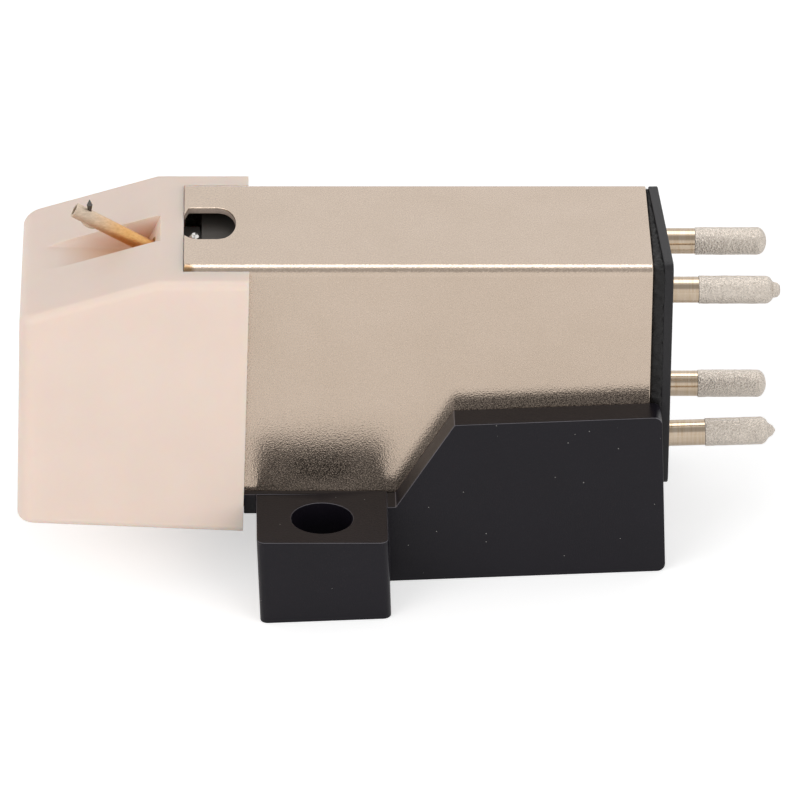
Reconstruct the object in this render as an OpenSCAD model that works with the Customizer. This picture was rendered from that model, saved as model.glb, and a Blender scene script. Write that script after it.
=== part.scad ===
// Moving-magnet pickup cartridge with its stylus, standing on its mounting face with the stylus up.
// Row frame: x runs back towards the terminals, y across, z up from the mounting face.
// The origin is midway between the two mounting holes, on the mounting face.
// The body is pitched on its bracket, so most pieces are drawn in a body frame:
// x back from the front of the shield can, z up from the top of the can.

/* [Mounting bracket] */
// Distance between the centres of the two mounting holes
hole_spacing = 12.7; // [12:0.1:13.5]
// Bore of each mounting hole
hole_d = 2.65; // [2.2:0.05:3]
// Length of each lug along the body
lug_l = 5.6; // [5:0.1:6.5]
// Plastic outside each mounting hole, to the end of its lug
lug_margin = 0.825; // [0.6:0.025:1.3]
// Width over the two cheeks that hold the can
bracket_w = 10.6; // [10:0.1:11.4]
// Height of the cheeks above the mounting face
bracket_h = 7.55; // [6.5:0.05:9]
// Distance from the rear of the can back to the bracket's rear face
bracket_overhang = 0.65; // [0.2:0.05:1]
// Distance from the hole line back to the front end of the cheek's top edge
cheek_top_x = 5.8; // [5:0.1:8]
// Slope of the cheek's sloping front edge
cheek_angle = 56; // [50:1:70]
// Thickness of the plastic between the mounting face and the can, at the holes
seat_h = 3.45; // [3:0.05:4.5]
// Angle between the mounting face and the body
body_pitch = 2.4; // [0:0.1:4]
// Distance from the front of the can back to the hole line
hole_back = 5.9; // [5.8:0.1:7]
// Height of the shallow rim that cradles the can
rim_h = 0.4; // [0.2:0.05:0.8]
// Thickness of that rim
rim_t = 0.35; // [0.25:0.05:0.6]
// Thickness of the tongue under the front of the can
tongue_t = 0.55; // [0.4:0.05:0.7]
// Depth of the hollows moulded into the underside
core_depth = 1.5; // [0.8:0.1:1.6]
// Plastic left between those hollows and the bracket's outer sides
core_side = 1.45; // [1.3:0.05:1.8]
// Walls and middle rib left between those hollows
core_wall = 1.2; // [0.9:0.05:1.5]
// Radius of the bracket's outer corners
bracket_r = 0.35; // [0.2:0.05:0.5]

/* [Shield can] */
// Length of the can
can_l = 19.9; // [19:0.1:21]
// Width of the can
can_w = 7.9; // [7.6:0.1:8.4]
// Height of the can
can_h = 11.2; // [10.6:0.1:12]
// Thickness of the sheet
can_wall = 0.3; // [0.2:0.05:0.4]
// Radius of the can's long edges
can_r = 0.45; // [0.3:0.05:0.6]
// Width of the notch in the top of the can
slot_w = 2.95; // [2.4:0.05:3.4]
// Depth of the notch from the front of the can
slot_l = 2.2; // [1.6:0.1:2.6]
// Radius of the notch's two rear corners
slot_r = 0.95; // [0.5:0.05:1.1]
// Radius of the notch's near front corner
slot_near_r = 0.55; // [0.3:0.05:0.8]
// Radius of the notch's far front corner
slot_far_r = 0.25; // [0.2:0.05:0.8]
// Offset of the notch to the far side, as it was punched
slot_shift = 0.18; // [0:0.02:0.3]

/* [Stylus holder] */
// Width of the stylus holder
holder_w = 10.2; // [9.8:0.1:10.8]
// Length of the block in front of the can
nose_l = 6.9; // [6:0.1:8]
// Length of the cheeks that grip the can
grip_l = 2.72; // [2:0.02:2.8]
// Drop of the holder's underside below the can's, at its front
belly_drop = 0.65; // [0.3:0.05:1.1]
// Drop of the holder's top below the top of the can
top_drop = 0.15; // [0.1:0.05:0.4]
// Distance from the can forward to where the top starts to slope
slant_start = 1.15; // [0.9:0.05:1.6]
// Slope of the front part of the top
slant_angle = 17; // [12:1:22]
// Slope of the holder's underside
belly_angle = 2.6; // [0:0.2:4]
// Lean of the holder's front and rear faces
face_lean = 1.25; // [0:0.25:3]
// Wall of the hollow front block
holder_wall = 1.05; // [0.8:0.05:1.2]
// Radius of the two long front edges
nose_r = 0.5; // [0.3:0.05:0.8]
// Radius of the other outer edges
holder_r = 0.3; // [0.15:0.05:0.4]
// Width of the trough that the cantilever lies in
trough_w = 2.35; // [2:0.05:2.8]
// Depth of the trough's floor below the top of the can
trough_floor = 1.67; // [1.4:0.01:1.9]
// Distance from the can forward to the trough's end wall
trough_end = 1; // [0.9:0.05:1.1]

/* [Stylus] */
// Slope of the cantilever to the body
cantilever_angle = 29.7; // [24:0.1:32]
// Outer diameter of the cantilever tube
cantilever_d = 0.65; // [0.5:0.05:0.75]
// Wall of the cantilever tube
cantilever_wall = 0.1; // [0.06:0.01:0.15]
// Length from the pivot forward to the open end of the tube
cantilever_reach = 6.42; // [6.2:0.02:7]
// Distance from the can's front back to the pivot
pivot_x = 0.9; // [0.8:0.05:1]
// Depth of the pivot below the top of the can
pivot_depth = 2.45; // [2.4:0.01:2.55]
// Distance from the open end of the tube back to the tip
tip_setback = 0.75; // [0.5:0.05:1.2]
// Diameter of the tip at its widest
tip_d = 0.25; // [0.18:0.01:0.35]
// Diameter of the tip's shank, where it passes through the tube
tip_shank_d = 0.17; // [0.1:0.01:0.18]
// Height of the tip's point above the tube
tip_h = 0.48; // [0.3:0.02:0.6]

/* [Suspension] */
// Depth of the block's underside below the top of the can
block_bottom = 4.75; // [4.7:0.05:5.2]
// Distance from the can's front back to the rear face of the block
block_rear = 3.5; // [3.4:0.1:3.7]
// Outer diameter of the brass sleeve
sleeve_d = 1.7; // [1.6:0.02:1.72]
// Wall of the brass sleeve
sleeve_wall = 0.15; // [0.1:0.01:0.16]
// Length of the sleeve in front of the pivot
sleeve_front = 1; // [0.9:0.05:1.05]
// Length of the sleeve behind the pivot
sleeve_back = 2.5; // [2.4:0.05:2.6]
// Thickness of the rubber damper
damper_t = 0.6; // [0.4:0.05:0.7]
// Diameter of the magnet
magnet_d = 0.85; // [0.8:0.01:0.9]
// Length of the magnet
magnet_l = 1.7; // [1.4:0.05:1.75]
// Diameter of the tie wire
tie_wire_d = 0.1; // [0.06:0.01:0.14]
// Diameter of the set screw's head
screw_head_d = 0.36; // [0.3:0.02:0.5]
// Depth of the top of the set screw below the top of the can
screw_top = 0.5; // [0.4:0.05:0.6]

/* [Generator] */
// Distance from the can's front back to the coil carrier
carrier_front = 0.75; // [0.7:0.01:0.85]
// Depth of the carrier's top below the top of the can
carrier_top = 0.85; // [0.8:0.01:0.9]
// Thickness of the carrier's roof over the suspension block
carrier_roof = 0.25; // [0.2:0.01:0.26]
// Wall between the suspension block and the pole pieces
tunnel_wall = 0.24; // [0.2:0.01:0.35]
// Thickness of the carrier's rear wall
carrier_wall = 2.2; // [1.6:0.1:2.4]
// Thickness of the pole pieces
pole_t = 0.7; // [0.5:0.05:0.75]
// Height of the pole pieces' legs
pole_leg = 1; // [0.8:0.05:1.1]
// Room for the lead wires between the pole pieces and the carrier's rear wall
lead_room = 2.2; // [1.8:0.1:2.6]
// Depth of the lower pole legs' underside below the top of the can
pole_bottom = 7.2; // [6.8:0.1:7.6]
// Size of the bobbins' square flanges
bobbin_w = 2.6; // [2.4:0.05:2.65]
// Thickness of the bobbins' flanges and core
bobbin_wall = 0.2; // [0.15:0.01:0.25]
// Size of the wound coils
coil_w = 2.3; // [2:0.05:2.35]

/* [Terminals] */
// Diameter of the terminal pins
pin_d = 1.2; // [1.1:0.02:1.3]
// Diameter of the pins' shanks, inside the can
shank_d = 0.84; // [0.7:0.02:0.86]
// Spacing of the pins across the body
pin_pitch_y = 4.46; // [4.2:0.02:4.8]
// Spacing of the upper and lower pins
pin_pitch_z = 7; // [6.5:0.1:7.4]
// Depth of the upper pins below the top of the can
pin_top = 1.95; // [1.7:0.05:2.3]
// Length of the pins behind the terminal plate
pin_out = 4.6; // [4:0.1:5.5]
// Size of the solder nub on the near pins
nub_l = 0.25; // [0.1:0.05:0.3]
// Upward bend of the near lower pin
pin_bend = 1.8; // [0:0.2:3]
// Inset of the terminal plate's sides from the can's
plate_inset = 0.15; // [0.1:0.05:0.4]
// Inset of the terminal plate's lower edge from the can's underside
plate_foot = 0.55; // [0.3:0.05:1]
// Thickness of the terminal plate
plate_t = 0.4; // [0.3:0.05:0.5]
// Gap between the can and the middle of the plate, filled with potting
plate_gap = 0.29; // [0.25:0.01:0.6]
// Twist of the plate about the upright axis, as it was potted
plate_yaw = 2.9; // [0:0.1:3]
// Depth of potting resin inside the rear of the can
potting_depth = 1.3; // [1:0.1:1.6]
// Diameter of the coils' lead wires
lead_d = 0.16; // [0.1:0.02:0.2]

/* [Fits] */
// Gap between parts that slide or turn on each other
slide_gap = 0.06; // [0.04:0.01:0.08]
// Gap between parts that are pressed or glued together
seat_gap = 0.01; // [0.01:0.005:0.02]

/* [Hidden] */
$fn = 48;
far = 1;
near = -1;
past = 30;                                // reach of a cut that runs right through
lug_span = hole_spacing + hole_d + 2 * lug_margin;
bracket_rear = can_l - hole_back + bracket_overhang;
core_outer = bracket_w / 2 - core_side;
rim_top = -can_h + rim_h;
rim_front = grip_l - rim_h / 4;
tongue_front = 0.5;
slot_lead = 0.05;                         // how far the notch's rounded outline runs out of the can
holder_h = can_h + belly_drop;
nose_drop = top_drop + (nose_l - slant_start) * tan(slant_angle);
holder_h_rear = holder_h + (nose_l + grip_l) * tan(belly_angle);
front_lean = (holder_h - nose_drop) * tan(face_lean);
rear_lean = (holder_h_rear - top_drop) * tan(face_lean);

carrier_gap = 0.05;                       // between the carrier and the can's sheet
carrier_rear = can_l - potting_depth;
carrier_wall_front = carrier_rear - carrier_wall;
inner_w = can_w - 2 * can_wall - 2 * carrier_gap;
inner_h = can_h - 2 * can_wall - 2 * carrier_gap;
socket_end_gap = 0.15;
deck_t = 1.2;
deck_side = 1;
flange_gap = 0.4;                         // between the front block and the bobbins

pole_y = inner_w / 2 - bobbin_w / 2;
pole_front = carrier_front + 0.4;
pole_rear = carrier_wall_front - lead_room;
pole_tip_l = 1.85;
pole_step = 0.2;                          // between the end of a tip and the leg of the other piece
leg_top = 1.5;
tip_top = leg_top - pole_step;
tip_split = 3.05;                         // depth of the gap between an upper and a lower tip
tip_gap = 0.3;
lower_leg_x = pole_front + pole_tip_l + pole_step;
leg_z = -(leg_top + pole_leg / 2);
bobbin_front = 5;
bobbin_end_gap = 0.6;                     // between a bobbin and the lower pole piece behind it
bobbin_l = pole_rear - pole_leg - bobbin_end_gap - bobbin_front;
coil_l = bobbin_l - 2 * bobbin_wall;
coil_r = 0.45;
lead_inset = 0.5;                         // from the inner side of a pole piece in to its leads
lead_upper = 1.8;
lead_lower = 2.6;
lead_bend = 0.4;                          // behind the pole pieces, where the leads turn to the pins

block_w = 2 * (pole_y - pole_t / 2 - tunnel_wall - slide_gap);
block_cover = 0.35;                       // plastic left between the block and the trough's end wall
block_front = trough_end - block_cover;
block_top_front = 0.95;
block_top_rear = carrier_top + carrier_roof + slide_gap;
tunnel_half = block_w / 2 + slide_gap;
sleeve_bore = sleeve_d - 2 * sleeve_wall;
passage_d = sleeve_bore - 0.05;           // a little narrower, so that the sleeve seats on a step
damper_gap = 0.04;
cantilever_tail = 0.95;
magnet_start = damper_t / 2 + 0.05;
plug_t = 0.35;
shank_proud = 0.08;                       // how far the tip's shank stands out below the tube
point_r = 0.015;
screw_x = pivot_x - 0.45;

plate_w = can_w - 2 * plate_inset;
plate_lift = 0.05;                        // how far the plate stands above the can's top
plate_h = can_h + plate_lift - plate_foot;
plate_r = 0.4;
plate_mid = can_l + plate_gap + plate_t / 2;
resin_inset = 0.05;                       // from the plate's edge in to the resin that beds it
pin_y = pin_pitch_y / 2;
pin_low = pin_top + pin_pitch_z;
pin_inner = carrier_wall_front - 0.4;     // inner ends, which the lead wires meet
pin_more = 0.1;                           // how much further one far pin stands out, and one less
dome_h = 0.35;

// Places the body frame in the row frame
module body_frame() {
    translate([0, 0, seat_h]) rotate([0, body_pitch, 0]) translate([-hole_back, 0, can_h]) children();
}

// Places the suspension's own axis in the row frame: z runs from the pivot back along the cantilever
module suspension_frame() {
    body_frame() translate([pivot_x, 0, -pivot_depth]) rotate([0, 90 + cantilever_angle, 0]) children();
}

// Extrudes a section in the y-z plane from x = from over a length
module along_x(from, length) {
    translate([from, 0, 0]) rotate([90, 0, 90]) linear_extrude(length) children();
}

// Extrudes a side view in the x-z plane across a width, centred on y
module across(width) {
    rotate([90, 0, 0]) linear_extrude(width, center = true) children();
}

// Rectangle with true round corners, centred
module rounded(w, h, r) {
    square([w - 2 * r, h], center = true);
    square([w, h - 2 * r], center = true);
    for (sx = [-1, 1], sy = [-1, 1]) translate([sx * (w / 2 - r), sy * (h / 2 - r)]) circle(r);
}

// Rectangle given by two opposite corners
module plate_2d(a, b) {
    translate([min(a.x, b.x), min(a.y, b.y)]) square([abs(b.x - a.x), abs(b.y - a.y)]);
}

// Box given by its extent along x, half its width and its extent along z
module bar(x0, x1, half, z0, z1) {
    translate([x0, -half, z0]) cube([x1 - x0, 2 * half, z1 - z0]);
}

function unit(v) = v / norm(v);
function neighbour(pts, i, step) = pts[(i + step + len(pts)) % len(pts)];

// Convex outline whose corners are rounded by the radii given, one for each point
module soft_outline(pts, radii) {
    polygon([for (i = [0:len(pts) - 1])
        let (p = pts[i], u = unit(neighbour(pts, i, -1) - p), v = unit(neighbour(pts, i, 1) - p),
             half = acos(u * v) / 2, t = radii[i] / tan(half))
        each radii[i] > 0 ? [p + u * t, p + v * t] : [p]]);
    for (i = [0:len(pts) - 1]) if (radii[i] > 0) {
        p = pts[i];
        u = unit(neighbour(pts, i, -1) - p);
        v = unit(neighbour(pts, i, 1) - p);
        half = acos(u * v) / 2;
        translate(p + unit(u + v) * radii[i] / sin(half)) circle(radii[i]);
    }
}

// Moulded bracket: two cheeks, a cross bar with the two lugs, and a tongue under the can
module mounting_bracket() color("#2b2a2d") difference() {
    union() {
        across(bracket_w) cheek_outline();
        difference() {
            linear_extrude(bracket_h) rounded(lug_l, lug_span, bracket_r);
            body_frame() translate([-past / 2, -past / 2, rim_top]) cube(past);
        }
        body_frame() {
            bar(tongue_front, hole_back + lug_l / 2, can_w / 2 - rim_t, -can_h - tongue_t, -can_h);
            bar(rim_front, hole_back + lug_l / 2, can_w / 2 + rim_t, -can_h - tongue_t, rim_top);
        }
    }
    body_frame() bar(-past, past, can_w / 2 + seat_gap, -can_h, past);
    for (side = [far, near]) translate([0, side * hole_spacing / 2, 0])
        cylinder(h = past, d = hole_d, center = true);
    // hollows of the underside, with a rib down the middle of the rear one
    bar(-lug_l / 2 + core_wall, lug_l / 2 - core_wall, core_outer, -past, core_depth);
    for (side = [far, near]) translate([0, side * (core_outer / 2 + core_wall / 4), 0])
        bar(lug_l / 2 + core_wall, bracket_rear - core_wall, core_outer / 2 - core_wall / 4, -past,
            core_depth);
}

// Side view of the cheeks and the floor between them
module cheek_outline() {
    foot_z = seat_h + rim_h / 2;
    foot_x = cheek_top_x - (bracket_h - foot_z) / tan(cheek_angle);
    polygon([[0, 0], [foot_x + 1, 0], [foot_x + 1, foot_z], [0, foot_z]]);
    soft_outline([[foot_x, 0], [bracket_rear, 0], [bracket_rear, bracket_h],
        [cheek_top_x, bracket_h], [foot_x, foot_z]], [0, bracket_r, bracket_r, bracket_r, 0]);
}

// Drawn tube of nickel-plated sheet, open at both ends, with a notch in its top
module shield_can() color("#cbbfae") body_frame() difference() {
    along_x(0, can_l) translate([0, -can_h / 2]) rounded(can_w, can_h, can_r);
    along_x(-past, 2 * past) translate([0, -can_h / 2])
        rounded(can_w - 2 * can_wall, can_h - 2 * can_wall, can_r - can_wall / 2);
    translate([0, slot_shift, -can_wall * 2]) linear_extrude(can_wall * 4)
        soft_outline([[-slot_lead, -slot_w / 2], [slot_l, -slot_w / 2], [slot_l, slot_w / 2],
            [-slot_lead, slot_w / 2]], [slot_near_r, slot_r, slot_r, slot_far_r]);
}

// Side view of the stylus holder, with its long front edges rounded
module holder_outline() {
    soft_outline([[grip_l, -top_drop], [-slant_start, -top_drop], [-nose_l, -nose_drop],
        [-nose_l - front_lean, -holder_h], [grip_l - rear_lean, -holder_h_rear]],
        [0, 0, nose_r, nose_r, holder_r]);
}

// Moulded stylus holder: a hollow nose with the trough in its top, and two cheeks that grip the can
module stylus_holder() color("#e6d4c8") body_frame() difference() {
    intersection() {
        across(holder_w) holder_outline();
        translate([0, 0, -past / 2]) linear_extrude(past)
            translate([-nose_l - front_lean + past / 2, 0]) rounded(past, holder_w, nose_r);
        along_x(-past / 2, past) translate([0, -top_drop - past / 2]) rounded(holder_w, past, holder_r);
    }
    bar(-slide_gap, past, can_w / 2 + slide_gap, -past, past);
    difference() {
        across(holder_w - 2 * holder_wall) hollow_outline();
        bar(-past, 0, trough_w / 2 + holder_wall, -trough_floor - holder_wall, past);
        bar(-trough_end - holder_wall, 0, block_w / 2 + holder_wall, -block_bottom - holder_wall, past);
    }
    bar(-past, -trough_end, trough_w / 2, -trough_floor, past);
    suspension_frame_in_body() cylinder(h = past, d = passage_d, center = true);
    bar(-block_front, past, block_w / 2 + seat_gap, -block_bottom - seat_gap, -block_top_front + seat_gap);
}

// Side view of the hollow inside the nose, open towards the can
module hollow_outline() {
    polygon([[0, -top_drop - holder_wall], [-slant_start, -top_drop - holder_wall],
        [-nose_l + holder_wall, -nose_drop - holder_wall],
        [-nose_l - front_lean + holder_wall, -holder_h + holder_wall], [0, -holder_h + holder_wall]]);
}

// The suspension's axis for a piece that is already drawn in the body frame
module suspension_frame_in_body() {
    translate([pivot_x, 0, -pivot_depth]) rotate([0, 90 + cantilever_angle, 0]) children();
}

// Moulded block that plugs into the coil carrier and holds the suspension at its slope
module suspension_block() color("#1c1b1d") body_frame() difference() {
    union() {
        bar(-block_front, carrier_front - slide_gap, block_w / 2, -block_bottom, -block_top_front);
        bar(0, block_rear, block_w / 2, -block_bottom, -block_top_rear);
    }
    suspension_frame_in_body() {
        cylinder(h = past, d = passage_d, center = true);
        translate([0, 0, -sleeve_front - seat_gap]) cylinder(h = past, d = sleeve_d + 2 * seat_gap);
    }
    translate([screw_x, 0, -pivot_depth]) cylinder(h = past, d = screw_head_d / 2 + 2 * seat_gap);
}

// Thin brass tube that carries the damper, the magnet and the wire plug
module pivot_sleeve() color("#b8964f") suspension_frame() difference() {
    translate([0, 0, -sleeve_front]) cylinder(h = sleeve_front + sleeve_back, d = sleeve_d);
    cylinder(h = past, d = sleeve_bore, center = true);
}

// Rubber ring in which the cantilever swings
module damper() color("#222222") suspension_frame() difference() {
    cylinder(h = damper_t, d = sleeve_bore - 2 * damper_gap, center = true);
    cylinder(h = past, d = cantilever_d + 2 * damper_gap, center = true);
}

// Thin-walled tube, open in front, drilled across for the tip
module cantilever() color("#d9a866") difference() {
    suspension_frame() difference() {
        translate([0, 0, -cantilever_reach]) cylinder(h = cantilever_reach + cantilever_tail, d = cantilever_d);
        cylinder(h = past, d = cantilever_d - 2 * cantilever_wall, center = true);
    }
    at_tip() cylinder(h = past, d = tip_shank_d + 2 * seat_gap, center = true);
}

// Upright axis of the tip, from the middle of the tube
module at_tip() {
    run = cantilever_reach - tip_setback;
    body_frame() translate([pivot_x - run * cos(cantilever_angle), 0, -pivot_depth + run * sin(cantilever_angle)])
        children();
}

// Pointed tip on a shank that passes through the tube and stands a little below it
module stylus_tip() color("#6e6a68") at_tip() {
    tube_top = cantilever_d / 2 / cos(cantilever_angle);
    point = tube_top + tip_h;
    foot = -tube_top - shank_proud;
    rotate_extrude() polygon([[0, foot], [tip_shank_d / 2, foot], [tip_shank_d / 2, tube_top],
        [tip_d / 2, tube_top + tip_h / 2], [point_r, point], [0, point]]);
}

// Round magnet bonded over the rear end of the tube
module magnet() color("#8a8d90") suspension_frame() difference() {
    translate([0, 0, magnet_start]) cylinder(h = magnet_l, d = magnet_d);
    translate([0, 0, -1]) cylinder(h = cantilever_tail + 1 + seat_gap, d = cantilever_d + 2 * seat_gap);
}

// Fine wire that ties the magnet back to its plug
module tie_wire() color("#d0d2d4") suspension_frame()
    translate([0, 0, magnet_start + magnet_l + slide_gap])
        cylinder(h = sleeve_back - magnet_start - magnet_l + slide_gap, d = tie_wire_d);

// Brass disc in the rear of the sleeve that holds the tie wire
module wire_plug() color("#a88a4a") suspension_frame() translate([0, 0, sleeve_back - plug_t]) difference() {
    cylinder(h = plug_t, d = sleeve_bore - 2 * seat_gap);
    cylinder(h = past, d = tie_wire_d + 2 * seat_gap, center = true);
}

// Small screw that clamps the sleeve in its block, seen through the notch of the can
module set_screw() color("#d8d6d2") {
    head_z = -screw_top - screw_head_d / 2;
    foot = -pivot_depth + (pivot_x - screw_x + screw_head_d / 4) * tan(cantilever_angle)
        + sleeve_d / 2 / cos(cantilever_angle) + seat_gap;
    body_frame() translate([screw_x, 0, 0]) {
        translate([0, 0, foot]) cylinder(h = head_z - foot + seat_gap, d = screw_head_d / 2);
        intersection() {
            translate([0, 0, head_z]) sphere(d = screw_head_d);
            translate([0, 0, -screw_top]) cube([1, 1, screw_head_d], center = true);
        }
    }
}

// Moulded carrier: a front block with a socket for the stylus, a deck for the coils and a rear wall
module coil_carrier() color("#1a1a1c") body_frame() difference() {
    intersection() {
        union() {
            bar(carrier_front, bobbin_front - flange_gap, inner_w / 2, -past, -carrier_top);
            bar(carrier_front, carrier_rear, inner_w / 2, -past, -pole_bottom);
            bar(carrier_wall_front, carrier_rear, inner_w / 2, -past, -carrier_top);
        }
        along_x(0, past) translate([0, -can_h / 2]) rounded(inner_w, inner_h, can_r);
    }
    bar(0, block_rear + socket_end_gap, tunnel_half, -block_bottom - slide_gap, -block_top_rear + slide_gap);
    bar(bobbin_front - flange_gap, carrier_wall_front, inner_w / 2 - deck_side, -past, -pole_bottom - deck_t);
    bar(pole_rear + lead_bend, carrier_wall_front, inner_w / 2 - deck_side, -past, 0);
    for (side = [far, near]) translate([0, side * pole_y, 0]) across(pole_t + 2 * seat_gap) {
        plate_2d([pole_front - seat_gap, -tip_top + seat_gap], [bobbin_front, -block_bottom - seat_gap]);
        plate_2d([lower_leg_x - seat_gap, -leg_top], [bobbin_front, -pole_bottom - seat_gap]);
    }
    pin_bores();
}

// Bores for the four shanks, from their inner ends back
module pin_bores() {
    for (side = [far, near], z = [-pin_top, -pin_low]) translate([pin_inner, side * pin_y, z])
        rotate([0, 90, 0]) cylinder(h = past, d = shank_d + 2 * seat_gap);
}

// Upper pole piece: a tip beside the magnet and a leg that runs back through the bobbin
module upper_pole(side) color("#9a9a98") body_frame() translate([0, side * pole_y, 0]) across(pole_t) {
    plate_2d([pole_front, -tip_top], [pole_front + pole_tip_l, -tip_split + tip_gap / 2]);
    plate_2d([pole_front, -leg_top], [pole_rear, -leg_top - pole_leg]);
}

// Lower pole piece: a tip beside the magnet and a leg that returns under the coil to the upper one
module lower_pole(side) color("#9a9a98") body_frame() translate([0, side * pole_y, 0]) across(pole_t) {
    tip_edge = -tip_split - tip_gap / 2;
    plate_2d([pole_front, tip_edge], [lower_leg_x + pole_leg, -block_bottom]);
    plate_2d([lower_leg_x, tip_edge], [lower_leg_x + pole_leg, -pole_bottom]);
    plate_2d([lower_leg_x, -pole_bottom + pole_leg], [pole_rear, -pole_bottom]);
    plate_2d([pole_rear - pole_leg, -leg_top - pole_leg], [pole_rear, -pole_bottom]);
}

// Square spool around the upper leg, with a flange at each end
module bobbin(side) color("#262628") body_frame() translate([0, side * pole_y, leg_z]) difference() {
    union() {
        bar(bobbin_front, bobbin_front + bobbin_l, pole_t / 2 + seat_gap + bobbin_wall,
            -pole_leg / 2 - seat_gap - bobbin_wall, pole_leg / 2 + seat_gap + bobbin_wall);
        for (x = [bobbin_front, bobbin_front + bobbin_l - bobbin_wall])
            bar(x, x + bobbin_wall, bobbin_w / 2, -bobbin_w / 2, bobbin_w / 2);
    }
    bar(0, past, pole_t / 2 + seat_gap, -pole_leg / 2 - seat_gap, pole_leg / 2 + seat_gap);
}

// Winding of enamelled wire between the bobbin's flanges
module coil(side) color("#b5653a") body_frame() translate([0, side * pole_y, leg_z]) difference() {
    along_x(bobbin_front + bobbin_wall, coil_l) rounded(coil_w, coil_w, coil_r);
    bar(0, past, pole_t / 2 + seat_gap + bobbin_wall, -pole_leg / 2 - seat_gap - bobbin_wall,
        pole_leg / 2 + seat_gap + bobbin_wall);
}

// One straight stretch of lead wire; where the wire bends, a small knuckle joins two stretches
module wire(a, b) {
    v = b - a;
    translate(a) rotate([0, acos(v.z / norm(v)), atan2(v.y, v.x)]) cylinder(h = norm(v), d = lead_d, $fn = 8);
}

// Four fine wires from the bobbins to the inner ends of the pins
module coil_leads() color("#b5653a") body_frame() for (side = [far, near]) {
    start_x = bobbin_front + bobbin_l + lead_d / 2;
    lead_y = pole_y - pole_t / 2 - lead_inset;
    for (lead = [[-lead_upper, -pin_top], [-lead_lower, -pin_low]]) {
        corner = [pole_rear + lead_bend, side * lead_y, lead[0]];
        wire([start_x, side * lead_y, lead[0]], corner);
        translate(corner) cube(lead_d, center = true);
        wire(corner, [pin_inner - lead_d / 2, side * pin_y, lead[1]]);
    }
}

// Black resin that fills the rear of the can and beds the terminal plate
module potting() color("#161616") body_frame() difference() {
    resin_skin = can_wall + seat_gap;
    union() {
        along_x(carrier_rear, potting_depth + 2 * seat_gap) translate([0, -can_h / 2])
            rounded(can_w - 2 * resin_skin, can_h - 2 * resin_skin, can_r - can_wall / 2);
        along_x(can_l + seat_gap, 1) translate([0, -can_h / 2])
            rounded(plate_w - 2 * resin_inset, can_h - 2 * can_wall, can_r);
    }
    from_plate_front() translate([0, -past / 2, -past]) cube([past, past, 2 * past]);
    pin_bores();
}

// Frame of the terminal plate's front face, turned by the twist
module from_plate_front() {
    translate([plate_mid, 0, 0]) rotate([0, 0, plate_yaw]) translate([-plate_t / 2, 0, 0]) children();
}

// Thin stamped sheet of laminate that spaces the four pins
module terminal_plate() color("#232225") body_frame() difference() {
    from_plate_front() along_x(0, plate_t) translate([0, plate_lift - plate_h / 2])
        rounded(plate_w, plate_h, plate_r);
    pin_bores();
}

// Round pin that shoulders against the plate on a slimmer shank, with a domed end.
// The near ones carry a small nub of solder, and one is bent up a little at the plate.
module terminal_pin(side, depth, extra, nub, bend) color("#c9c2ba") {
    shoulder = plate_mid + plate_t / 2 / cos(plate_yaw) - (side * pin_y - pin_d / 2) * tan(plate_yaw)
        + pin_d / 2 * sin(bend);
    out = plate_mid + plate_t / 2 + pin_out + extra - shoulder;
    dome_r = (pin_d * pin_d / 4 + dome_h * dome_h) / dome_h / 2;
    body_frame() translate([0, side * pin_y, -depth]) {
        translate([pin_inner, 0, 0]) rotate([0, 90, 0])
            cylinder(h = shoulder - pin_inner + pin_d / 4, d = shank_d);
        translate([shoulder, 0, 0]) rotate([0, 90 - bend, 0]) {
            intersection() {
                cylinder(h = out, d = pin_d);
                translate([0, 0, out - dome_r]) sphere_cap_and_shaft(dome_r);
            }
            if (nub > 0) translate([0, 0, out - dome_h])
                cylinder(h = dome_h + nub, d1 = pin_d * 3 / 4, d2 = pin_d / 4);
        }
    }
}

// Dome of the given radius with the space below it
module sphere_cap_and_shaft(r) {
    sphere(r = r);
    mirror([0, 0, 1]) cylinder(h = past, r = r);
}

mounting_bracket();
shield_can();
stylus_holder();
suspension_block();
pivot_sleeve();
damper();
cantilever();
stylus_tip();
magnet();
tie_wire();
wire_plug();
set_screw();
coil_carrier();
upper_pole(near);  // pole_piece_near_upper
lower_pole(near);  // pole_piece_near_lower
upper_pole(far);  // pole_piece_far_upper
lower_pole(far);  // pole_piece_far_lower
bobbin(near);  // bobbin_near
bobbin(far);  // bobbin_far
coil(near);  // coil_near
coil(far);  // coil_far
coil_leads();
potting();
terminal_plate();
terminal_pin(far, pin_top, -pin_more, 0, 0);  // terminal_pin_far_upper
terminal_pin(near, pin_top, 0, nub_l, 0);  // terminal_pin_near_upper
terminal_pin(far, pin_low, pin_more, 0, 0);  // terminal_pin_far_lower
terminal_pin(near, pin_low, 0, nub_l, pin_bend);  // terminal_pin_near_lower
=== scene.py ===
from math import cos, pi, radians, sin, sqrt, tan

import bpy
from mathutils import Matrix, Quaternion, Vector, noise


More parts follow.
